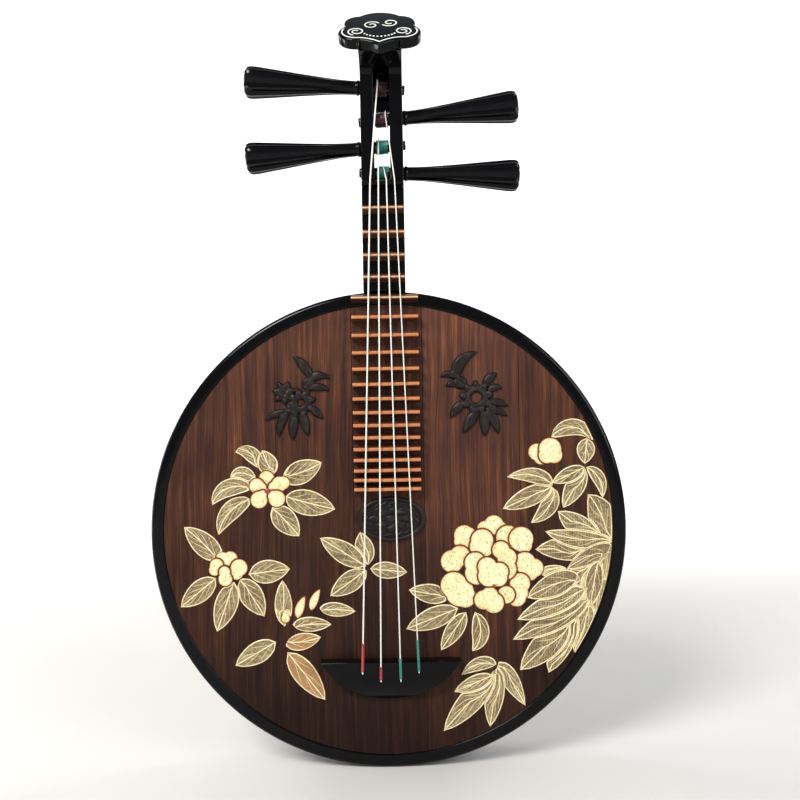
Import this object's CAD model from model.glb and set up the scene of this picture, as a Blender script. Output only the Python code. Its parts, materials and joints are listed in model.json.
import json
import math

import bmesh
import bpy
import numpy as np
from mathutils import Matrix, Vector
from mathutils.geometry import delaunay_2d_cdt


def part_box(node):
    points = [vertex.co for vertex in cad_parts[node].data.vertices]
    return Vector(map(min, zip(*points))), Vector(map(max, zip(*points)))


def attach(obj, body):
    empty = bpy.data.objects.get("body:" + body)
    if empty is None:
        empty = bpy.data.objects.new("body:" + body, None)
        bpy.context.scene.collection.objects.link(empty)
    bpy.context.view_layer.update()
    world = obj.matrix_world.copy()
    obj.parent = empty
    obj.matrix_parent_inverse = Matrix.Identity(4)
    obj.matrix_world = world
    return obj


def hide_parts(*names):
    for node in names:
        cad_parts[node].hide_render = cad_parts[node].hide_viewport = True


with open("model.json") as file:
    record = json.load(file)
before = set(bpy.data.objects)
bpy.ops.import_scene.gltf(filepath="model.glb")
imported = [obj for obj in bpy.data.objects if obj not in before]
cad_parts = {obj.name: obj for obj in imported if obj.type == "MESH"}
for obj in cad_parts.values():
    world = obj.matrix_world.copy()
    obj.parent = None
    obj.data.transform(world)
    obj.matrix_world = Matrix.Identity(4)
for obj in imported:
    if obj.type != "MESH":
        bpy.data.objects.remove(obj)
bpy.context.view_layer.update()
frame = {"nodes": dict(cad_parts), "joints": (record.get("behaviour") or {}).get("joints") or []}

nodes = frame["nodes"]
joints = {j["child"]: j for j in frame["joints"]}
chance = np.random.default_rng(11)
TAU = 2 * math.pi
MM = 0.001
# Depth of the soundboard's face, in millimetres
BOARD = round(-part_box("soundboard")[0].y / MM, 3)


# ---------------------------------------------------------------- materials

def tone(r, g, b):
    """An sRGB colour, 0 to 255, as linear RGBA."""
    parts = [c / 255 for c in (r, g, b)]
    return tuple(c / 12.92 if c <= 0.04045 else ((c + 0.055) / 1.055) ** 2.4 for c in parts) + (1.0,)


class Finish:
    """A node material, built from short calls."""

    def __init__(self, name, **fixed):
        self.mat = bpy.data.materials.new(name)
        self.mat.use_nodes = True
        self.tree = self.mat.node_tree
        self.bsdf = self.tree.nodes["Principled BSDF"]
        for key, value in fixed.items():
            self.bsdf.inputs[key.replace("_", " ")].default_value = value

    def put(self, socket, value):
        if isinstance(value, bpy.types.NodeSocket):
            self.tree.links.new(value, socket)
        else:
            socket.default_value = value

    def node(self, kind, out, values, **props):
        n = self.tree.nodes.new("ShaderNode" + kind)
        for key, value in props.items():
            setattr(n, key, value)
        for key, value in values.items():
            self.put(n.inputs[key], value)
        return n.outputs[out]

    def place(self, scale=(1, 1, 1), source="Object", shift=(0, 0, 0)):
        where = self.node("TexCoord", source, {})
        return self.node("Mapping", 0, {"Vector": where, "Scale": scale, "Location": shift})

    def part(self, vector, axis):
        return self.node("SeparateXYZ", axis, {0: vector})

    def attr(self, name):
        return self.node("Attribute", "Fac", {}, attribute_name=name)

    def noise(self, where, scale, detail=2.0, rough=0.5, warp=0.0):
        return self.node("TexNoise", 0, {"Vector": where, "Scale": scale, "Detail": detail,
                                         "Roughness": rough, "Distortion": warp})

    def calc(self, op, a, b=0.0, clamp=False):
        return self.node("Math", 0, {0: a, 1: b}, operation=op, use_clamp=clamp)

    def span(self, value, lo, hi, to_lo=0.0, to_hi=1.0):
        return self.node("MapRange", 0, {0: value, 1: lo, 2: hi, 3: to_lo, 4: to_hi})

    def ramp(self, value, stops):
        n = self.tree.nodes.new("ShaderNodeValToRGB")
        band = n.color_ramp
        while len(band.elements) < len(stops):
            band.elements.new(0.5)
        for element, (at, colour) in zip(band.elements, stops):
            element.position = at
            element.color = colour
        self.put(n.inputs[0], value)
        return n.outputs[0]

    def mix(self, share, a, b, blend="MIX"):
        return self.node("Mix", 2, {0: share, 6: a, 7: b}, data_type="RGBA", blend_type=blend)

    def swing(self, value, size):
        """A value from 0 to 1, centred on 0 and scaled to size."""
        return self.calc("MULTIPLY", self.calc("SUBTRACT", value, 0.5), size)

    def finish(self, colour, rough, height=None, strength=0.3, depth=0.0003):
        self.put(self.bsdf.inputs["Base Color"], colour)
        self.put(self.bsdf.inputs["Roughness"], rough)
        if height is not None:
            normal = self.node("Bump", 0, {"Height": height, "Strength": strength, "Distance": depth})
            self.put(self.bsdf.inputs["Normal"], normal)
        return self.mat


def lacquer(name, dullest):
    """Black lacquer, whose roughness runs from a tenth to dullest."""
    f = Finish(name, Coat_Weight=0.11, Coat_Roughness=0.05, Specular_IOR_Level=0.10)
    where = f.place()
    cloud = f.noise(where, 22, 4, 0.6)
    rubbed = f.span(f.noise(where, 60, 5, 0.7, 0.4), 0.55, 0.75)
    scratch = f.noise(f.place((1, 1, 0.08)), 900, 2, 0.6)
    black = f.mix(cloud, tone(4, 4, 5), tone(9, 8, 9))
    colour = f.mix(f.calc("MULTIPLY", rubbed, 0.3), black, tone(20, 15, 13))
    rough = f.calc("ADD", f.span(cloud, 0.3, 0.7, 0.10, dullest), f.calc("MULTIPLY", rubbed, 0.10))
    rough = f.calc("ADD", rough, f.span(scratch, 0.62, 0.8, 0.0, 0.12))
    peel = f.calc("ADD", f.noise(where, 260, 3), f.calc("MULTIPLY", scratch, 0.25))
    return f.finish(colour, rough, peel, 0.05, 0.0004)


def board(name, joints_x, shades, stain, shift=(0, 0, 0)):
    """Stained planks with their grain along Z. Shades hold each plank's brightness, from left to right."""
    f = Finish(name, Coat_Weight=0.02, Coat_Roughness=0.25, Specular_IOR_Level=0.10)
    plain = f.place()
    x = f.part(plain, "X")
    z = f.part(plain, "Z")
    brightness = shades[0]
    seam = 0.0
    number = 0.0
    for at, before, after in zip(joints_x, shades, shades[1:]):
        right = f.calc("GREATER_THAN", x, at)
        brightness = f.calc("ADD", f.calc("MULTIPLY", right, after - before), brightness)
        number = f.calc("ADD", right, number)
        near = f.calc("LESS_THAN", f.calc("ABSOLUTE", f.calc("SUBTRACT", x, at)), 0.00028)
        seam = f.calc("MAXIMUM", near, seam)
    offset = f.node("CombineXYZ", 0, {"X": f.calc("MULTIPLY", number, 0.37), "Y": number, "Z": 0.0})
    wander = f.swing(f.noise(f.place((1, 1, 0.5), shift=shift), 7, 2), 0.022)
    bent = f.node("CombineXYZ", 0, {"X": f.calc("ADD", x, wander), "Y": 0.0, "Z": z})
    moved = f.node("VectorMath", 0, {0: bent, 1: offset}, operation="ADD")
    streak = f.noise(f.node("Mapping", 0, {"Vector": moved, "Scale": (1, 1, 0.03)}), 230, 3, 0.6)
    fine = f.noise(f.node("Mapping", 0, {"Vector": moved, "Scale": (1, 1, 0.022)}), 1000, 4, 0.65)
    pores = f.noise(f.node("Mapping", 0, {"Vector": moved, "Scale": (1, 1, 0.02)}), 2400, 2, 0.7)
    cloud = f.noise(plain, 14, 3, 0.6)
    mixed = f.calc("ADD", f.calc("MULTIPLY", streak, 0.55), f.calc("MULTIPLY", fine, 0.45))
    mixed = f.calc("ADD", mixed, f.swing(cloud, 0.30))
    wood = f.ramp(f.span(mixed, 0.30, 0.70), stain)
    level = f.calc("MULTIPLY", f.span(z, -0.16, 0.17, 0.26, 1.16), brightness)
    grey = f.node("CombineColor", 0, {0: level, 1: level, 2: level})
    wood = f.mix(1.0, wood, grey, "MULTIPLY")
    wood = f.mix(f.span(pores, 0.36, 0.30, 0.0, 0.65), wood, tone(24, 14, 12))
    wood = f.mix(f.calc("MULTIPLY", seam, 0.8), wood, tone(16, 9, 8))
    rough = f.span(fine, 0.3, 0.7, 0.52, 0.36)
    height = f.calc("SUBTRACT", f.calc("MULTIPLY", fine, 0.6), f.span(pores, 0.38, 0.28, 0.0, 1.0))
    height = f.calc("SUBTRACT", height, f.calc("MULTIPLY", seam, 1.5))
    return f.finish(wood, rough, height, 0.35, 0.00025)


def bamboo():
    f = Finish("bamboo_strip", Coat_Weight=0.2, Coat_Roughness=0.2)
    uv = f.place(source="UV")
    across = f.calc("ABSOLUTE", f.calc("SUBTRACT", f.part(uv, "Y"), 0.5))
    fibre = f.noise(f.place((2.2, 95, 1), "UV"), 1.0, 4, 0.6)
    own = f.attr("shade")
    skin = f.ramp(f.calc("ADD", across, f.swing(fibre, 0.05)),
                  [(0.0, tone(200, 132, 80)), (0.05, tone(186, 112, 64)), (0.08, tone(112, 60, 36)),
                   (0.13, tone(62, 33, 23)), (0.46, tone(38, 21, 17))])
    crown = f.ramp(across, [(0.0, tone(232, 196, 150)), (0.022, tone(214, 166, 114)),
                            (0.038, tone(78, 44, 30)), (0.12, tone(46, 27, 21)), (0.46, tone(34, 20, 17))])
    skin = f.mix(f.attr("pale"), skin, crown)
    skin = f.mix(f.span(fibre, 0.35, 0.7, 0.35, 0.0), skin, tone(110, 62, 34))
    skin = f.mix(f.calc("MULTIPLY", own, 0.22), skin, tone(150, 84, 50))
    return f.finish(skin, f.span(fibre, 0.3, 0.7, 0.28, 0.45), fibre, 0.25, 0.0002)


def thread(name, light, dark, lay=(1, 1, 1), scale=2600):
    f = Finish(name, Sheen_Weight=0.35, Sheen_Roughness=0.4)
    strand = f.noise(f.place(lay), scale, 3, 0.6)
    patch = f.noise(f.place(), 90, 2)
    colour = f.mix(f.span(strand, 0.35, 0.65), dark, light)
    colour = f.mix(f.span(patch, 0.45, 0.7, 0.0, 0.3), colour, dark)
    return f.finish(colour, f.span(strand, 0.3, 0.7, 0.45, 0.3), strand, 0.3, 0.0001)


def carved():
    f = Finish("carved_wood_dark", Coat_Weight=0.05, Coat_Roughness=0.3, Specular_IOR_Level=0.2)
    where = f.place()
    grain = f.noise(f.place((1, 1, 0.15)), 420, 4, 0.6)
    cloud = f.noise(where, 70, 3)
    colour = f.mix(f.span(grain, 0.3, 0.7), tone(9, 7, 7), tone(26, 20, 18))
    crest = f.calc("MULTIPLY", f.span(f.attr("relief"), 0.72, 1.0), f.span(cloud, 0.3, 0.7, 0.2, 1.0))
    colour = f.mix(f.calc("MULTIPLY", crest, 0.5), colour, tone(60, 45, 39))
    return f.finish(colour, f.span(cloud, 0.3, 0.7, 0.36, 0.54), grain, 0.25, 0.0002)


def petal():
    f = Finish("petal_shell", Coat_Weight=0.12, Coat_Roughness=0.25, Specular_IOR_Level=0.35)
    where = f.place()
    rim = f.attr("rim")
    own = f.attr("shade")
    cloud = f.noise(where, 130, 4, 0.6)
    colour = f.mix(f.span(cloud, 0.35, 0.68), tone(240, 233, 184), tone(222, 208, 152))
    colour = f.mix(f.calc("MULTIPLY", own, 0.4), colour, tone(243, 240, 204))
    etched = f.noise(f.place((1, 1, 0.45)), 950, 3, 0.6, 0.6)
    colour = f.mix(f.span(etched, 0.48, 0.62, 0.0, 0.6), colour, tone(168, 146, 80))
    speck = f.node("TexVoronoi", 0, {"Vector": where, "Scale": 460.0, "Randomness": 1.0})
    wide = f.noise(where, 500, 2)
    dots = f.calc("MULTIPLY", f.span(speck, 0.30, 0.20), f.calc("GREATER_THAN", wide, 0.48))
    colour = f.mix(f.calc("MULTIPLY", dots, 0.7), colour, tone(128, 96, 48))
    wobble = f.calc("ADD", rim, f.swing(f.noise(where, 420, 3), 1.1))
    colour = f.mix(f.span(wobble, 2.1, 0.4, 0.0, 0.5), colour, tone(206, 146, 76))
    line = f.calc("ADD", rim, f.swing(f.noise(where, 700, 2), 0.25))
    colour = f.mix(f.span(line, 0.58, 0.36, 0.0, 0.92), colour, tone(128, 62, 34))
    return f.finish(colour, f.span(cloud, 0.3, 0.7, 0.3, 0.46), etched, 0.15, 0.0002)


def leaf_fill(name, upright):
    """Hatched leaves: strokes along the veins, or straight up. A shade over 1.5 is the warmer tan."""
    f = Finish(name, Coat_Weight=0.1, Coat_Roughness=0.3, Specular_IOR_Level=0.3)
    where = f.place()
    uv = f.place(source="UV")
    own = f.attr("shade")
    jitter = f.swing(f.noise(where, 260, 3), 3.0)
    if upright:
        phase = f.calc("MULTIPLY", f.part(where, "X"), TAU / 0.0013)
    else:
        slant = f.calc("MULTIPLY", f.calc("ABSOLUTE", f.part(uv, "Y")), 1.6)
        phase = f.calc("MULTIPLY", f.calc("SUBTRACT", f.part(uv, "X"), slant), TAU / 0.13)
    wave = f.calc("SINE", f.calc("ADD", phase, jitter))
    broken = f.noise(where, 620, 4, 0.7)
    cloud = f.noise(where, 75, 3)
    stroke = f.calc("ADD", f.calc("MULTIPLY", wave, 0.24), f.swing(broken, 1.9))
    stroke = f.calc("ADD", stroke, f.swing(cloud, 0.9))
    colour = f.ramp(f.calc("ADD", stroke, 0.5, clamp=True),
                    [(0.0, tone(74, 50, 36)), (0.3, tone(104, 84, 60)), (0.62, tone(144, 127, 92)),
                     (1.0, tone(190, 176, 132))])
    colour = f.mix(f.calc("MULTIPLY", f.calc("MINIMUM", own, 1.0), 0.3), colour, tone(112, 84, 56))
    warm = f.calc("MULTIPLY", f.calc("GREATER_THAN", own, 1.5), 0.42)
    colour = f.mix(warm, colour, tone(186, 130, 76))
    return f.finish(colour, f.span(broken, 0.3, 0.7, 0.36, 0.52), stroke, 0.2, 0.00015)


def pale_line(name, light, dark):
    f = Finish(name, Coat_Weight=0.15, Coat_Roughness=0.2)
    where = f.place()
    cloud = f.noise(where, 240, 4, 0.65)
    colour = f.mix(f.span(cloud, 0.4, 0.7), light, dark)
    return f.finish(colour, f.span(cloud, 0.3, 0.7, 0.25, 0.42), cloud, 0.12, 0.0002)


def raw_wood():
    f = Finish("plain_spruce", Specular_IOR_Level=0.3)
    grain = f.noise(f.place((0.05, 1, 1)), 500, 4, 0.6)
    rings = f.noise(f.place((0.02, 1, 1)), 160, 2)
    colour = f.ramp(f.calc("ADD", f.calc("MULTIPLY", grain, 0.4), f.calc("MULTIPLY", rings, 0.6)),
                    [(0.3, tone(214, 178, 126)), (0.5, tone(198, 156, 104)), (0.62, tone(166, 120, 74))])
    return f.finish(colour, f.span(grain, 0.3, 0.7, 0.55, 0.75), grain, 0.3, 0.0003)


def steel():
    f = Finish("spring_steel", Metallic=1.0)
    drawn = f.noise(f.place(), 1500, 3)
    colour = f.mix(drawn, tone(150, 150, 152), tone(196, 196, 198))
    return f.finish(colour, f.span(drawn, 0.3, 0.7, 0.22, 0.4), drawn, 0.1, 0.0001)


BLACK = lacquer("black_lacquer", 0.22)
PEG_BLACK = lacquer("peg_lacquer_black", 0.20)
FRONT = board("stained_soundboard", [-0.0845, -0.026, 0.0275, 0.100], [0.96, 0.92, 0.86, 1.22, 0.82],
              [(0.0, tone(38, 24, 20)), (0.35, tone(60, 37, 30)), (0.6, tone(79, 48, 36)),
               (0.85, tone(104, 64, 42)), (1.0, tone(132, 84, 52))])
BACK = board("stained_back", [-0.062, 0.058], [0.95, 1.08, 0.98],
             [(0.0, tone(50, 28, 22)), (0.45, tone(84, 47, 34)), (0.8, tone(112, 66, 44)),
              (1.0, tone(134, 82, 54))], (0.3, 0.2, 0.7))
BAMBOO = bamboo()
SILK = thread("string_silk_white", tone(246, 244, 236), tone(206, 202, 190), (1, 1, 0.25), 3200)
RED = thread("silk_red", tone(196, 34, 40), tone(112, 14, 20))
TEAL = thread("silk_teal", tone(52, 158, 140), tone(18, 84, 80))
MAROON = thread("silk_maroon", tone(82, 26, 34), tone(34, 12, 16))
CARVED = carved()
PETAL = petal()
LEAF = leaf_fill("leaf_hatched", False)
LEAF_UPRIGHT = leaf_fill("leaf_hatched_upright", True)
LINE = pale_line("leaf_line_cream", tone(236, 222, 178), tone(206, 184, 136))
CAP_LINE = pale_line("cap_line_shell", tone(240, 240, 232), tone(204, 206, 200))
EYE = pale_line("flower_eye", tone(150, 70, 40), tone(96, 40, 24))
SPRUCE = raw_wood()
STEEL = steel()


# ---------------------------------------------------------------- mesh helpers

def piece(name, verts, faces, mats, replaces, body="lute", index=None, uv=None, floats=None, angle=38):
    """A new visible piece. Points are in millimetres; uv and floats hold one value per point."""
    mesh = bpy.data.meshes.new(name)
    verts = [tuple(MM * float(c) for c in v) for v in verts]
    mesh.from_pydata(verts, [], [tuple(map(int, f)) for f in faces])
    for m in mats:
        mesh.materials.append(m)
    if index is not None:
        mesh.polygons.foreach_set("material_index", list(index))
    if uv is not None:
        layer = mesh.uv_layers.new(name="UVMap")
        for loop in mesh.loops:
            layer.data[loop.index].uv = uv[loop.vertex_index]
    for key, values in (floats or {}).items():
        mesh.attributes.new(key, "FLOAT", "POINT").data.foreach_set("value", [float(v) for v in values])
    bm = bmesh.new()
    bm.from_mesh(mesh)
    bmesh.ops.remove_doubles(bm, verts=bm.verts, dist=2e-6)
    bmesh.ops.dissolve_degenerate(bm, edges=bm.edges, dist=1e-6)
    bmesh.ops.recalc_face_normals(bm, faces=bm.faces)
    bm.to_mesh(mesh)
    bm.free()
    settle(name, mesh, replaces, body, angle)


def settle(name, mesh, replaces, body, angle):
    """Puts a mesh in the scene, smooth but for edges over the angle, in degrees."""
    mesh.shade_smooth()
    mesh.set_sharp_from_angle(angle=math.radians(angle))
    ob = bpy.data.objects.new(name, mesh)
    bpy.context.scene.collection.objects.link(ob)
    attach(ob, body)
    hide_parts(*replaces)


def skin(rings):
    """Faces that join rings of equal count; the ends are closed by one face each."""
    m = len(rings[0])
    faces = []
    for k in range(len(rings) - 1):
        for j in range(m):
            a, b = k * m + j, k * m + (j + 1) % m
            faces.append((a, b, b + m, a + m))
    last = (len(rings) - 1) * m
    faces.append(tuple(range(m - 1, -1, -1)))
    faces.append(tuple(last + j for j in range(m)))
    return faces


def tube(path, radius, sides):
    """Rings round a path of points, without a twist."""
    steps = np.diff(path, axis=0)
    steps /= np.linalg.norm(steps, axis=1)[:, None]
    heads = np.vstack([steps[:1], steps[:-1] + steps[1:], steps[-1:]])
    heads /= np.linalg.norm(heads, axis=1)[:, None]
    u = np.cross(heads[0], [0.31, 0.22, 0.92])
    u /= np.linalg.norm(u)
    turns = np.arange(sides) * TAU / sides
    rings = []
    for p, d in zip(path, heads):
        u = u - d * (u @ d)
        u /= np.linalg.norm(u)
        v = np.cross(d, u)
        rings.append(p + radius * (np.cos(turns)[:, None] * u + np.sin(turns)[:, None] * v))
    return rings


def join(meshes):
    """Several (points, faces) as one."""
    points, faces = [], []
    for p, fs in meshes:
        base = len(points)
        points.extend(list(p))
        faces.extend([tuple(base + i for i in f) for f in fs])
    return points, faces


def round_corner(a, corner, b, count):
    """Points of the curve that starts at a towards the corner and ends at b."""
    return [(1 - t) ** 2 * a + 2 * t * (1 - t) * corner + t * t * b for t in np.linspace(0, 1, count)]


def curve_through(points, steps):
    """Catmull-Rom points through the given ones."""
    p = np.asarray(points, float)
    p = np.vstack([2 * p[0] - p[1], p, 2 * p[-1] - p[-2]])
    out = []
    for i in range(1, len(p) - 2):
        for t in np.linspace(0, 1, steps, endpoint=False):
            out.append(0.5 * (2 * p[i] + (p[i + 1] - p[i - 1]) * t
                              + (2 * p[i - 1] - 5 * p[i] + 4 * p[i + 1] - p[i + 2]) * t * t
                              + (3 * p[i] - p[i - 1] - 3 * p[i + 1] + p[i + 2]) * t ** 3))
    return np.vstack(out + [p[-2]])


def polished(node, radius, mats, name, steps=3, angle=30):
    """A copy of a CAD node whose edges over the angle, in degrees, are rounded."""
    flat_within = math.radians(0.4)
    bm = bmesh.new()
    bm.from_mesh(nodes[node].data)
    bmesh.ops.remove_doubles(bm, verts=bm.verts, dist=3e-6)
    bmesh.ops.dissolve_limit(bm, angle_limit=flat_within, verts=bm.verts, edges=bm.edges)
    sharp = [e for e in bm.edges
             if len(e.link_faces) == 2 and e.calc_face_angle(0.0) > math.radians(angle)]
    bmesh.ops.bevel(bm, geom=sharp, offset=radius * MM, segments=steps, profile=0.5, affect="EDGES",
                    clamp_overlap=False)
    bmesh.ops.recalc_face_normals(bm, faces=bm.faces)
    mesh = bpy.data.meshes.new(name)
    bm.to_mesh(mesh)
    bm.free()
    for m in mats:
        mesh.materials.append(m)
    settle(name, mesh, [node], "lute", 40)


def connected(seed, todo):
    """The faces that edges join to the seed, among those in todo. They are taken off todo."""
    todo.discard(seed.index)
    group, stack = [], [seed]
    while stack:
        f = stack.pop()
        group.append(f)
        for e in f.edges:
            for g in e.link_faces:
                if g.index in todo:
                    todo.discard(g.index)
                    stack.append(g)
    return group


def outlines(group):
    """The closed outlines of a group of faces, in X and Z in millimetres, with the largest first."""
    members = {f.index for f in group}
    following = {}
    for f in group:
        for loop in f.loops:
            if sum(g.index in members for g in loop.edge.link_faces) == 1:
                following.setdefault(loop.vert.index, []).append(loop.link_loop_next.vert)
    where = {v.index: (v.co.x / MM, v.co.z / MM) for f in group for v in f.verts}
    loops = []
    while following:
        first = next(iter(following))
        at, ring = first, []
        while at in following:
            ring.append(where[at])
            after = following[at].pop()
            if not following[at]:
                del following[at]
            at = after.index
            if at == first:
                break
        if len(ring) > 2:
            loops.append(np.array(ring))
    return sorted(loops, key=lambda r: -abs(area(r)))


def islands(node):
    """The flat tops of a CAD node: for each, its outlines and its depth in millimetres."""
    bm = bmesh.new()
    bm.from_mesh(nodes[node].data)
    bmesh.ops.remove_doubles(bm, verts=bm.verts, dist=3e-6)
    bm.faces.ensure_lookup_table()
    front = [f for f in bm.faces if f.normal.y < -0.9]
    todo = {f.index for f in front}
    out = []
    for seed in front:
        if seed.index in todo:
            group = connected(seed, todo)
            out.append((outlines(group), -np.mean([v.co.y for f in group for v in f.verts]) / MM))
    bm.free()
    return out


def area(ring):
    """An outline's area, negative where it runs clockwise."""
    x, y = ring[:, 0], ring[:, 1]
    return 0.5 * float(np.sum(x * np.roll(y, -1) - y * np.roll(x, -1)))


def evenly(line, n):
    """A line's points at n + 1 equal steps of length, and its length."""
    gone = np.concatenate([[0], np.cumsum(np.linalg.norm(np.diff(line, axis=0), axis=1))])
    at = np.linspace(0, gone[-1], n + 1)
    return np.stack([np.interp(at, gone, line[:, k]) for k in (0, 1)], axis=1), gone[-1]


def refine(ring, step):
    """The same outline with no step longer than the given one."""
    out = []
    for a, b in zip(ring, np.roll(ring, -1, axis=0)):
        n = max(1, int(math.ceil(np.linalg.norm(b - a) / step)))
        out.extend(a + (b - a) * k / n for k in range(n))
    return np.array(out)


def within(points, loops):
    """Which points lie inside the outlines; a hole counts as outside."""
    hit = np.zeros(len(points), bool)
    for ring in loops:
        for a, b in zip(ring, np.roll(ring, -1, axis=0)):
            if a[1] == b[1]:
                continue
            cross = (a[1] > points[:, 1]) != (b[1] > points[:, 1])
            hit ^= cross & (points[:, 0] < (b[0] - a[0]) * (points[:, 1] - a[1]) / (b[1] - a[1]) + a[0])
    return hit


def to_edge(points, loops):
    """Each point's distance to the nearest outline."""
    best = np.full(len(points), 1e9)
    for ring in loops:
        for a, b in zip(ring, np.roll(ring, -1, axis=0)):
            d = b - a
            t = np.clip(((points - a) @ d) / max(d @ d, 1e-12), 0, 1)
            best = np.minimum(best, np.linalg.norm(points - a - t[:, None] * d, axis=1))
    return best


def filled(loops, step):
    """Triangles over an area, with inner points on a grid: points, triangles and the refined outlines."""
    rings = [refine(r, step) for r in loops]
    lo = np.min([r.min(0) for r in rings], axis=0)
    hi = np.max([r.max(0) for r in rings], axis=0)
    rows = np.arange(lo[1], hi[1], step * 0.866)
    grid = np.array([(x + (k % 2) * step / 2, y) for k, y in enumerate(rows)
                     for x in np.arange(lo[0], hi[0], step)])
    if len(grid):
        grid = grid[within(grid, rings)]
        if len(grid):
            grid = grid[to_edge(grid, rings) > step * 0.5]
    points, edges = [], []
    for r in rings:
        base = len(points)
        points.extend(r)
        edges.extend((base + i, base + (i + 1) % len(r)) for i in range(len(r)))
    points.extend(grid)
    made = delaunay_2d_cdt([Vector(map(float, p)) for p in points], edges, [], 0, 1e-5)
    verts = np.array([tuple(v) for v in made[0]])
    tris = np.array([t for t in made[2] if len(t) == 3])
    keep = within(verts[tris].mean(axis=1), rings)
    return verts, tris[keep], rings


def relief(loops, base, step, height):
    """A closed plate on the depth base, its top raised by height(points, distance to the edge).

    Returns its points and faces, and each point's distance to the edge and height above the base.
    """
    verts, tris, rings = filled(loops, step)
    used = np.unique(tris)
    remap = {int(v): i for i, v in enumerate(used)}
    flat = verts[used]
    tris = [tuple(remap[int(i)] for i in t) for t in tris]
    rim = to_edge(flat, rings)
    rim[rim < 1e-4] = 0.0
    up = height(flat, rim)
    top = [(p[0], -(base + h), p[1]) for p, h in zip(flat, up)]
    count = {}
    for t in tris:
        for k in range(3):
            a, b = t[k], t[(k + 1) % 3]
            count[(a, b)] = count.get((a, b), 0) + 1
    border = [(a, b) for (a, b) in count if (b, a) not in count]
    low = {}
    points = list(top)
    for a, b in border:
        for v in (a, b):
            if v not in low:
                low[v] = len(points)
                points.append((flat[v][0], -base, flat[v][1]))
    faces = list(tris) + [(b, a, low[a], low[b]) for a, b in border]
    under = {v: low.get(v) for v in range(len(flat))}
    for v in range(len(flat)):
        if under[v] is None:
            under[v] = len(points)
            points.append((flat[v][0], -base, flat[v][1]))
    faces += [(under[t[2]], under[t[1]], under[t[0]]) for t in tris]
    extra = len(points) - len(top)
    return points, faces, np.concatenate([rim, np.zeros(extra)]), np.concatenate([up, np.zeros(extra)])


# ---------------------------------------------------------------- body and neck

def make_hoop():
    """The rim's section, with its rounded corners, turned round the body's axis."""
    lo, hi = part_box("side_hoop")
    r, deep, width = hi.x / MM, -lo.y / MM, 10.0
    # Each rounded corner of the rim's section: centre, radius, from and to which angle, and how many points
    corners = [(r - 3, 3, 3, -90, 0, 8), (r - 3.5, deep - 3.5, 3.5, 0, 90, 9),
               (r - width + 0.9, deep - 0.9, 0.9, 90, 180, 4), (r - width + 0.6, 0.6, 0.6, 180, 270, 3)]
    line = []
    for cx, cd, cr, a0, a1, n in corners:
        for a in np.radians(np.linspace(a0, a1, n)):
            line.append((cx + cr * math.cos(a), cd + cr * math.sin(a)))
    around = 288
    rings = [[(pr * math.cos(TAU * k / around), -d, pr * math.sin(TAU * k / around)) for pr, d in line]
             for k in range(around)]
    points = [p for ring in rings for p in ring]
    m = len(line)
    faces = [(k * m + j, k * m + (j + 1) % m, (k + 1) % around * m + (j + 1) % m, (k + 1) % around * m + j)
             for k in range(around) for j in range(m)]
    piece("rim_hoop", points, faces, [BLACK], ["side_hoop"], angle=50)


def use(node, finish):
    """Gives a CAD node that stays its finish."""
    mesh = nodes[node].data
    mesh.materials.clear()
    mesh.materials.append(finish)


make_hoop()
use("soundboard", FRONT)
use("back_plate", BACK)
for inner in ("soundboard_braces", "back_brace", "neck_block", "tail_block", "sound_post"):
    use(inner, SPRUCE)
use("resonance_wire", STEEL)
polished("neck", 0.7, [BLACK], "neck_and_pegbox", angle=60)
polished("nut", 0.35, [BLACK], "nut_bar")
polished("bridge", 0.5, [BLACK], "bridge_half_moon")
polished("head_cap", 1.5, [BLACK], "head_cap_board", steps=5)
polished("cap_inlay", 0.1, [CAP_LINE], "cap_inlay_lines", steps=1)


# ---------------------------------------------------------------- frets

def make_fret(number):
    """A bamboo strip with worn ends. Those on the neck and the rim are paler than those on the soundboard."""
    node = f"fret_{number:02d}"
    lo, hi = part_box(node)
    half, foot, top = hi.x / MM, -hi.y / MM, -lo.y / MM
    mid = (lo.z + hi.z) / 2 / MM
    pale = float(mid > 168)
    side = [(foot, 3.2), (foot + 0.5, 3.12), (foot + 1.2, 2.6), (foot + (top - foot) * 0.45, 1.75),
            (foot + (top - foot) * 0.75, 1.45), (top - 0.75, 1.38), (top - 0.3, 1.15), (top - 0.08, 0.75),
            (top, 0.3)]
    line = side + [(d, -w) for d, w in reversed(side)]
    gone = np.concatenate([[0], np.cumsum([math.dist(a, b) for a, b in zip(line, line[1:])])])
    along = [0.0, 0.12, 0.35, 0.75] + list(np.linspace(1.6, 2 * half - 1.6, 15))
    along += [2 * half - c for c in (0.75, 0.35, 0.12, 0.0)]
    wave, lean = chance.uniform(0, TAU), chance.uniform(-0.12, 0.12)
    points, uv, rings = [], [], []
    for s in along:
        end = min(s, 2 * half - s)
        pull = 0.35 * (1 - min(1, end / 0.75)) ** 2
        x = s - half
        drift = 0.05 * math.sin(x * 0.13 + wave) + lean * x / half
        ring = [(x, -(d - pull * (d > foot + 1.3)), mid + w * (1 - 0.10 * pull) + drift) for d, w in line]
        rings.append(ring)
        points += ring
        uv += [(s / (2 * half), g / gone[-1]) for g in gone]
    floats = {"shade": [chance.uniform(0, 1)] * len(points), "pale": [pale] * len(points)}
    piece(f"bamboo_{node}", points, skin(rings), [BAMBOO], [node], uv=uv, floats=floats, angle=50)


for number in range(1, 20):
    make_fret(number)


# ---------------------------------------------------------------- strings, windings and pegs

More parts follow.
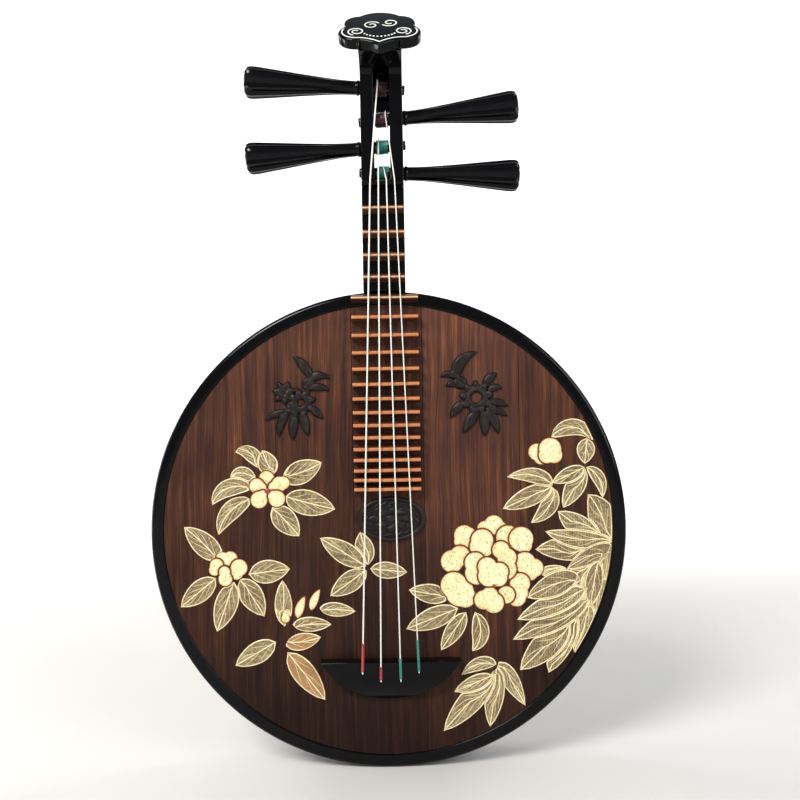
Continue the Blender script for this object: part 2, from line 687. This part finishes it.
# The CAD's own sizes, in millimetres
nut_z, bridge_z = 261.6, -97.0
nut_depth, bridge_depth = 59.2, 62.0
string_radius = [0.6, 0.55, 0.5, 0.45]
nut_x = [-9.1, -3, 3, 9.1]
bridge_x = [-20.7, -7.2, 7.2, 20.7]
hole_z = [-105, -111, -111, -105]
wrap_top = [-82.6, -100, -94, -80.4]
peg_of_string = ["peg_1", "peg_3", "peg_4", "peg_2"]
string_at_peg = [-2.9, -2.8, 0.6, 2.9]
winding_t = 1.3


def shaft_radius(x):
    """Radius of a peg's shaft, x along it from the neck's middle."""
    return 3.6 + 1.4 * (x + 16.4) / 32.8


def on_string(i, z):
    """The point of a string's straight run at the height z."""
    t = (nut_z - z) / (nut_z - bridge_z)
    x = nut_x[i] + (bridge_x[i] - nut_x[i]) * t
    return np.array([x, -(nut_depth + (bridge_depth - nut_depth) * t), z])


def axes(peg):
    """A peg's centre, its axis and two directions square to it."""
    joint = joints[peg]
    origin = np.array(joint["pos_m"], float) / MM
    d = np.array(joint["axis"], float)
    d /= np.linalg.norm(d)
    u = np.array([0.0, -1.0, 0.0])
    u -= d * (u @ d)
    u /= np.linalg.norm(u)
    return origin, d, u, np.cross(d, u)


def make_string(i):
    """A string from its hole in the bridge, over the nut and partly round the winding on its peg."""
    origin, d, _, _ = axes(peg_of_string[i])
    hole = on_string(i, hole_z[i])
    foot = hole + [0, 6.5, 0]
    top = on_string(i, nut_z)
    x = string_at_peg[i]
    local = x / d[0]
    centre = origin + d * local
    r = shaft_radius(local) + winding_t + string_radius[i] + 0.25
    v = centre[[1, 2]] - top[[1, 2]]
    away = math.acos(r / np.linalg.norm(v))
    back = math.atan2(-v[1], -v[0])
    front_first = math.cos(back + away) < math.cos(back - away)
    start = back + away if front_first else back - away
    sweep = -1 if front_first else 1
    arc = [np.array([x, centre[1] + r * math.cos(a), centre[2] + r * math.sin(a)])
           for a in start + sweep * np.radians(np.linspace(0, -75, 12))]
    along = (top - hole) / np.linalg.norm(top - hole)
    up = (arc[0] - top) / np.linalg.norm(arc[0] - top)
    at_hole = round_corner(hole + [0, 1.1, 0], hole, hole + along * 1.1, 7)
    at_nut = round_corner(top - along * 1.2, top, top + up * 1.2, 5)
    rings = tube(np.vstack([[foot], at_hole, at_nut, arc]), string_radius[i], 12)
    piece(f"silk_string_{i + 1}", np.vstack(rings), skin(rings), [SILK], [f"string_{i + 1}"])


def make_wrap(i):
    """Coloured thread wound tightly on the string, just above the bridge."""
    start, stop = on_string(i, wrap_top[i]), on_string(i, hole_z[i] + 1.6)
    length = np.linalg.norm(stop - start)
    d = (stop - start) / length
    u = np.cross(d, [1, 0, 0])
    u /= np.linalg.norm(u)
    v = np.cross(d, u)
    pitch, r = 0.62, string_radius[i] + 0.27
    turns = length / pitch
    a = np.linspace(0, turns * TAU, int(turns * 12))
    path = start + np.outer(a / TAU * pitch, d) + r * (np.outer(np.cos(a), u) + np.outer(np.sin(a), v))
    rings = tube(path, 0.29, 6)
    finish, slot = (RED, "red_silk") if i < 2 else (TEAL, "teal_silk")
    piece(f"silk_wrap_{i + 1}", np.vstack(rings), skin(rings), [finish], [f"string_wrap_{i + 1}"])


def coil(peg, x, a, lift):
    """Points round a peg's shaft: x along it, at the angles a, lift above the wood."""
    origin, d, u, v = axes(peg)
    out = np.array([shaft_radius(c) for c in x]) + lift
    return origin + np.outer(x, d) + out[:, None] * (np.outer(np.cos(a), u) + np.outer(np.sin(a), v))


def make_winding(i):
    """Turns of string on the peg, laid side by side, with one turn that crosses back over them."""
    peg = f"peg_{i}"
    half, turns, r = 5.3, 9, 0.56
    a = np.linspace(0, turns * TAU, turns * 30)
    under = tube(coil(peg, -half + 2 * (half - r) * a / a[-1] + r, a, 0.6), r, 8)
    back = np.linspace(half - 1.6, -half + 2.2, 60)
    over = tube(coil(peg, back, np.linspace(0, 1.6 * TAU, 60), 0.74), 0.5, 8)
    points, faces = join([(np.vstack(rings), skin(rings)) for rings in (under, over)])
    finish, slot = (MAROON, "maroon_silk") if i < 3 else (TEAL, "teal_silk")
    piece(f"silk_winding_{i}", points, faces, [finish], [f"winding_{i}"], body=peg)


def make_peg(i):
    """Shaft, ring and handle on one line of (place along the axis, radius, depth of the flutes)."""
    origin, d, u, v = axes(f"peg_{i}")
    reach, widest, start = 105.0, 11.9, 16.8
    line = [(-18, 0.05, 0), (-18, shaft_radius(-18) - 0.7, 0), (-17.8, shaft_radius(-18) - 0.25, 0),
            (-17.3, shaft_radius(-17), 0)]
    line += [(x, shaft_radius(x), 0) for x in np.linspace(-14, 16.2, 10)]
    line += [(start, shaft_radius(start), 0), (16.82, 5.2, 0), (17.1, 5.6, 0), (17.9, 5.75, 0),
             (18.7, 5.6, 0), (19.1, 5.2, 0)]
    shape = curve_through([(0.035, 0.43), (0.12, 0.45), (0.22, 0.49), (0.45, 0.64), (0.68, 0.82),
                           (0.85, 0.95), (0.93, 1.0), (0.97, 0.965), (0.99, 0.84), (0.998, 0.62),
                           (1.0, 0.36)], 6)
    for part, width in shape:
        deep = 0.115 * min(1, max(0, (part - 0.05) / 0.4)) ** 0.8
        line.append((start + part * (reach - start), width * widest, deep))
    line.append((reach - 0.05, 0.05 * widest, 0.02))
    around = 100
    a = np.arange(around) * TAU / around
    flute = np.abs(np.sin(5 * a)) ** 0.8
    rings = []
    for x, r, deep in line:
        out = r * (1 - deep * flute)
        rings.append(origin + d * x + out[:, None] * (np.outer(np.cos(a), u) + np.outer(np.sin(a), v)))
    piece(f"fluted_peg_{i}", np.vstack(rings), skin(rings), [PEG_BLACK], [f"peg_{i}"],
          body=f"peg_{i}", angle=50)


for i in range(4):
    make_string(i)
    make_wrap(i)
    make_winding(i + 1)
    make_peg(i + 1)


# ---------------------------------------------------------------- carvings

# Full height of the carvings above the soundboard
CARVED_H = 2.4


def make_medallion():
    """An oval rosette: beaded rim, scrolls, eight leaves and a boss, as heights on shells of an ellipse."""
    lo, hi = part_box("medallion")
    centre = ((lo.x + hi.x) / 2 / MM, (lo.z + hi.z) / 2 / MM)
    rx, rz, base = (hi.x - lo.x) / 2 / MM, (hi.z - lo.z) / 2 / MM, -hi.y / MM
    around, shells = 288, 74
    points, high = [], []

    def height(s, a):
        """Height at the part s of the way out from the middle, at the angle a."""
        bead = 1.25 + 1.1 * math.sqrt(max(0, 1 - ((s - 0.925) / 0.075) ** 2)) if s > 0.85 else 0
        lobes = abs(math.cos(4 * a)) ** 0.6
        edge = 0.30 + 0.36 * lobes
        leaf = 0.0
        if 0.2 < s < edge:
            t = (s - 0.2) / (edge - 0.2)
            ribs = 1 - 0.25 * math.cos(8 * a + 24 * s)
            leaf = 0.95 * lobes * math.sqrt(max(0, 1 - abs(2 * t - 1) ** 2.4)) * ribs
        scroll = 0.0
        if s >= edge:
            wave = math.cos(16 * a + 5 * math.sin(9 * s))
            scroll = 0.5 * max(0, wave) * max(0, 1 - abs(s - 0.74) / 0.1)
        boss = 1.3 * math.sqrt(max(0, 1 - (s / 0.19) ** 2))
        return max(bead, 1.05 + max(leaf, scroll, boss))

    for k in range(shells):
        s = 1 - k / shells
        for j in range(around):
            a = TAU * j / around
            h = height(s, a) if k else 0.55
            points.append((centre[0] + rx * s * math.cos(a), -(base + h), centre[1] + rz * s * math.sin(a)))
            high.append(h / CARVED_H)
    foot = len(points)
    for j in range(around):
        a = TAU * j / around
        points.append((centre[0] + rx * math.cos(a), -base, centre[1] + rz * math.sin(a)))
        high.append(0.0)
    faces = [(k * around + j, k * around + (j + 1) % around, (k + 1) * around + (j + 1) % around,
              (k + 1) * around + j) for k in range(shells - 1) for j in range(around)]
    faces += [(foot + j, foot + (j + 1) % around, (j + 1) % around, j) for j in range(around)]
    faces.append(tuple(foot + j for j in range(around)))
    faces.append(tuple((shells - 1) * around + j for j in range(around)))
    piece("medallion_carved", points, faces, [CARVED], ["medallion"], floats={"relief": high})


def make_carving(node, name, heart):
    """A pierced spray: wood that swells from its outline to a ridge, cut in a fan round the heart."""

    def height(flat, rim):
        away = flat - np.array(heart)
        spoke = np.arctan2(away[:, 1], away[:, 0])
        far = np.linalg.norm(away, axis=1)
        swell = np.sqrt(1 - (1 - np.clip(rim / 2.6, 0, 1)) ** 2)
        cuts = 0.17 * np.sin(spoke * 22 + 0.25 * far) * np.clip(rim / 1.2, 0, 1)
        ring = 0.28 * np.cos(np.clip(far, 0, 13) * TAU / 5.2) * (far < 13)
        return np.clip(0.75 + 1.35 * swell + cuts + ring * np.clip(rim / 1.5, 0, 1), 0.5, 2.45)

    points, faces, relief_at = [], [], []
    for loops, _ in islands(node):
        p, fs, _, up = relief(loops, BOARD, 0.75, height)
        shift = len(points)
        points += p
        faces += [tuple(shift + i for i in f) for f in fs]
        relief_at += list(up / CARVED_H)
    piece(name, points, faces, [CARVED], [node], floats={"relief": relief_at}, angle=60)


make_medallion()
make_carving("carving_left", "carved_spray_left", (-66, 98))
make_carving("carving_right", "carved_spray_right", (68, 99))


# ---------------------------------------------------------------- inlaid flowers and leaves

class Sheet:
    """Gathers the plates of one inlay."""

    def __init__(self):
        self.points, self.faces, self.index, self.uv = [], [], [], []
        self.rim, self.shade = [], []

    def add(self, points, faces, index, uv, rim, shade):
        shift = len(self.points)
        self.points += [tuple(p) for p in points]
        self.faces += [tuple(shift + i for i in f) for f in faces]
        self.index += index
        self.uv += uv
        self.rim += list(rim)
        self.shade += [shade] * len(points)


FILL, CREAM, SHELL, HEART = 0, 1, 2, 3
# The value of "rim" on everything that isn't a petal, far from any petal's edge
NO_RIM = 9.0
# The shade that marks a leaf of the warmer tan
TAN = 2.0
# Heights of a leaf's cross-section, from its outline in to the midrib, and the steps that are its sunk field
LEAF_HEIGHTS = [0.0, 0.30, 0.60, 0.44, 0.40, 0.41, 0.43, 0.62]
LEAF_FIELD = (3, 4, 5, 8, 9, 10)


def leaf_sides(ring, hubs):
    """A leaf's two edges, in even steps from its foot by a hub to its tip, and the leaf's length."""
    ring = refine(ring, 1.0)
    gaps = np.min([np.linalg.norm(ring - np.array(h), axis=1) for h in hubs], axis=0)
    foot = int(np.argmin(gaps))
    tip = int(np.argmax(np.linalg.norm(ring - ring[foot], axis=1)))
    rolled = np.roll(ring, -foot, axis=0)
    split = (tip - foot) % len(ring)
    sides = [rolled[:split + 1], np.vstack([rolled[split:], rolled[:1]])[::-1]]
    length = sum(evenly(side, 1)[1] for side in sides) / 2
    n = max(10, int(length / 1.5))
    left, right = [evenly(side, n)[0] for side in sides]
    return left, right, length


def leaf_rows(half, lean):
    """How far from the midrib each row of half a cross-section lies.

    Where the edge runs across the leaf, lean is low and the border wider. Near the ends all is squeezed.
    """
    border, rib = 0.85 / max(lean, 0.45), 0.42
    squeeze = min(1.0, half / (border + rib + 0.25)) if half > 0 else 0.0
    border, rib = border * squeeze, rib * squeeze
    inner = half - border
    field = inner - rib
    return [half, half, half - border * 0.45, inner, rib + field * 0.66, rib + field * 0.36, rib, 0.0]


def add_leaf(sheet, ring, hubs, veins, tan):
    """One leaf as a closed plate: a raised border and midrib, a sunk field between, and side veins."""
    left, right, length = leaf_sides(ring, hubs)
    n = len(left) - 1
    mid = (left + right) / 2
    shade = float(chance.uniform(0, 1))
    if any(within(np.array([place], float), [ring])[0] for place in tan):
        shade = TAN
    heads = np.gradient(mid, axis=0)
    heads /= np.maximum(np.linalg.norm(heads, axis=1), 1e-9)[:, None]
    section = []
    for k in range(n + 1):
        halves = []
        for flip, edge in ((1, left), (-1, right)):
            arm = edge[k] - mid[k]
            half = np.linalg.norm(arm)
            run = np.gradient(edge, axis=0)[k]
            lean = abs(run @ heads[k]) / max(np.linalg.norm(run), 1e-9)
            rows = []
            for out, up in zip(leaf_rows(half, lean), LEAF_HEIGHTS):
                p = mid[k] + (arm * out / half if half > 1e-6 else 0)
                rows.append(((p[0], -(BOARD + up), p[1]), (k / n * length / 10, flip * out / 10)))
            halves.append(rows)
        section += halves[0] + halves[1][-2::-1]
    points, uv = [p for p, _ in section], [t for _, t in section]
    faces, index = [], []
    m = 2 * len(LEAF_HEIGHTS) - 1
    for k in range(n):
        for j in range(m - 1):
            a = k * m + j
            faces.append((a, a + 1, a + m + 1, a + m))
            index.append(FILL if j in LEAF_FIELD else CREAM)
        faces.append((k * m, (k + 1) * m, (k + 1) * m + m - 1, k * m + m - 1))
        index.append(CREAM)
    sheet.add(points, faces, index, uv, [NO_RIM] * len(points), shade)
    if length < 11 or not veins:
        return
    count = veins if length > 20 else max(1, veins - 1)
    for flip, edge in ((1, left), (-1, right)):
        for c in range(count):
            begin = 0.04 + 0.62 * (c + 0.25 + 0.1 * flip) / count
            add_vein(sheet, mid, edge, begin, min(begin + 0.42, 0.94), shade)


def add_vein(sheet, mid, edge, begin, end, shade):
    """A thin ridge that leaves the midrib and sweeps towards one edge."""
    n, sections = len(mid) - 1, 11
    spine = []
    for t in np.linspace(0, 1, sections):
        at = (begin + (end - begin) * t) * n
        k = min(int(at), n - 1)
        w = at - k
        centre = mid[k] * (1 - w) + mid[k + 1] * w
        arm = (edge[k] - mid[k]) * (1 - w) + (edge[k + 1] - mid[k + 1]) * w
        half = np.linalg.norm(arm)
        reach = max(half - 1.25, 0.0)
        spine.append(centre + arm / max(half, 1e-9) * reach * (0.90 * t ** 1.15))
    spine = np.array(spine)
    if np.linalg.norm(spine[-1] - spine[0]) < 2.2:
        return
    dirs = np.gradient(spine, axis=0)
    dirs /= np.maximum(np.linalg.norm(dirs, axis=1), 1e-9)[:, None]
    across = np.stack([-dirs[:, 1], dirs[:, 0]], axis=1)
    strip = []
    for q, (p, side) in enumerate(zip(spine, across)):
        w = 0.24 * math.sin(math.pi * (0.14 + 0.82 * q / (sections - 1))) ** 0.6
        for off, up in ((-w, 0.36), (0.0, 0.56), (w, 0.36)):
            strip.append((p[0] + off * side[0], -(BOARD + up), p[1] + off * side[1]))
    faces = []
    for a in range(0, 3 * (sections - 1), 3):
        faces += [(a, a + 1, a + 4, a + 3), (a + 1, a + 2, a + 5, a + 4), (a + 2, a, a + 3, a + 5)]
    last = 3 * sections - 1
    faces += [(2, 1, 0), (last - 2, last - 1, last)]
    count = len(strip)
    sheet.add(strip, faces, [CREAM] * len(faces), [(0.0, 0.0)] * count, [NO_RIM] * count, shade)


def add_petal(sheet, loops):
    """One petal as a plate with a swelling edge and a slight tilt of its own."""
    lean = chance.uniform(-1, 1, 2)

    def height(flat, rim):
        middle = flat.mean(axis=0)
        size = max(np.ptp(flat[:, 0]), np.ptp(flat[:, 1]), 1.0)
        tilt = ((flat - middle) @ lean) / size * 0.07
        swell = np.sqrt(1 - (1 - np.clip(rim / 1.3, 0, 1)) ** 2)
        return 0.36 + 0.30 * swell + tilt * np.clip(rim / 1.3, 0, 1)

    points, faces, rim, _ = relief(loops, BOARD, 0.9, height)
    shade = float(chance.uniform(0, 1))
    sheet.add(points, faces, [SHELL] * len(faces), [(0.0, 0.0)] * len(points), rim, shade)


def add_eye(sheet, x, z, radius):
    """A small boss with a ring round it, at the heart of a flower."""
    around = 28
    steps = [(1.0, 0.5), (0.95, 0.82), (0.72, 0.95), (0.58, 0.80), (0.42, 0.98), (0.2, 1.06), (0.02, 1.08)]
    rings = [[(x + radius * part * math.cos(TAU * j / around), -(BOARD + up),
               z + radius * part * math.sin(TAU * j / around)) for j in range(around)] for part, up in steps]
    points, faces = sum(rings, []), skin(rings)
    count = len(points)
    sheet.add(points, faces, [HEART] * len(faces), [(0.0, 0.0)] * count, [NO_RIM] * count, 0.5)


def make_inlay(node, name, hubs=(), upright=False, veins=2, eye=None, tan=()):
    """Leaves grow from the hub nearest to them. Leaves over a point in tan have the warmer colour.

    The petals of a node stand higher than its leaves. Slivers are left out, and small leaves have no veins.
    """
    sliver, small_leaf, petal_from = 1.5, 30, BOARD + 0.6
    sheet = Sheet()
    parts = islands(node)
    petals = [loops[0] for loops, depth in parts if depth > petal_from]
    if petals and not hubs:
        hubs = [np.mean([ring.mean(axis=0) for ring in petals], axis=0)]
    for loops, depth in parts:
        size = abs(area(loops[0]))
        if size < sliver:
            continue
        if depth > petal_from:
            add_petal(sheet, loops)
        else:
            add_leaf(sheet, loops[0], hubs, veins if size > small_leaf else 0, tan)
    if eye:
        add_eye(sheet, *eye)
    mats = [LEAF_UPRIGHT if upright else LEAF, LINE, PETAL, EYE]
    piece(name, sheet.points, sheet.faces, mats, [node], index=sheet.index, uv=sheet.uv,
          floats={"rim": sheet.rim, "shade": sheet.shade}, angle=50)


make_inlay("blossom_upper", "inlay_blossom_upper", veins=3, eye=(-91, 30.5, 2.3))
make_inlay("blossom_lower", "inlay_blossom_lower", veins=3)
make_inlay("sprig", "inlay_sprig", [(-80, -82)], tan=[(-64, -110), (-66, -83)])
make_inlay("leaf_cross", "inlay_leaf_cross", [(-16.5, -27)])
make_inlay("peony", "inlay_peony", [(72, -38)], eye=(79.2, -44, 1.3))
make_inlay("bud", "inlay_bud", [(119, 60), (152.5, 68), (149.8, 44.2), (124.2, 31)])
make_inlay("foliage_right", "inlay_foliage_right", [(171.5, -12), (159, -26), (151, -48.5)],
           upright=True)
make_inlay("leaves_bottom", "inlay_leaves_bottom", [(79, -106)], veins=3)


# ---------------------------------------------------------------- floor, lights and camera

def make_stage():
    """A floor that curves up into a wall behind the lute."""
    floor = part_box("side_hoop")[0].z
    bend_y, bend_r, wide = 1.4, 0.8, 3.5
    line = [(-3.0, floor), (bend_y, floor)]
    line += [(bend_y + bend_r * math.sin(a), floor + bend_r - bend_r * math.cos(a))
             for a in np.radians(np.arange(10, 91, 10))]
    line += [(bend_y + bend_r, 3.2)]
    verts = [(x, y, z) for y, z in line for x in (-wide, wide)]
    faces = [(2 * k, 2 * k + 1, 2 * k + 3, 2 * k + 2) for k in range(len(line) - 1)]
    mesh = bpy.data.meshes.new("studio_floor")
    mesh.from_pydata(verts, [], faces)
    f = Finish("pale_floor", Specular_IOR_Level=0.2)
    cloud = f.noise(f.place(), 3, 3)
    near = f.mix(cloud, tone(196, 193, 189), tone(203, 200, 196))
    distance = f.span(f.part(f.place(), "Y"), 0.5, 1.6)
    mesh.materials.append(f.finish(f.mix(distance, near, tone(236, 236, 235)), 0.6))
    mesh.shade_smooth()
    ob = bpy.data.objects.new("studio_floor", mesh)
    bpy.context.scene.collection.objects.link(ob)


def make_light(name, at, aim, size, power, colour=(1, 1, 1), ratio=1.0):
    data = bpy.data.lights.new(name, "AREA")
    data.shape = "RECTANGLE"
    data.size = size
    data.size_y = size * ratio
    data.energy = power
    data.color = colour
    ob = bpy.data.objects.new(name, data)
    ob.location = at
    ob.rotation_euler = (Vector(aim) - Vector(at)).to_track_quat("-Z", "Y").to_euler()
    bpy.context.scene.collection.objects.link(ob)


make_stage()
make_light("key", (-1.0, -1.5, 1.5), (0, 0, 0.05), 0.8, 62, (1.0, 0.98, 0.95))
make_light("fill", (1.5, -1.3, 0.7), (0, 0, 0.0), 1.1, 22, (0.95, 0.97, 1.0))
make_light("side_left", (-1.3, 0.12, 0.1), (-0.17, -0.02, -0.04), 0.25, 9, (0.96, 0.98, 1.0), ratio=3.0)
make_light("wall_left", (-1.7, 1.1, 0.9), (-0.2, 2.2, 0.5), 0.8, 34)
make_light("wall_right", (1.7, 1.1, 0.9), (0.2, 2.2, 0.5), 0.8, 34)

world = bpy.data.worlds.new("soft_studio")
world.use_nodes = True
world.node_tree.nodes["Background"].inputs[0].default_value = (0.80, 0.89, 1.0, 1)
world.node_tree.nodes["Background"].inputs[1].default_value = 0.3
bpy.context.scene.world = world
bpy.context.scene.view_settings.view_transform = "Standard"

camera = bpy.data.objects.new("camera", bpy.data.cameras.new("camera"))
camera.data.sensor_width = 36
camera.data.lens = 38.75
camera.location = (0.0103, -0.700, 0.0976)
camera.rotation_euler = (math.radians(90), math.radians(1.0), 0)
bpy.context.scene.collection.objects.link(camera)
bpy.context.scene.camera = camera

bpy.context.view_layer.update()
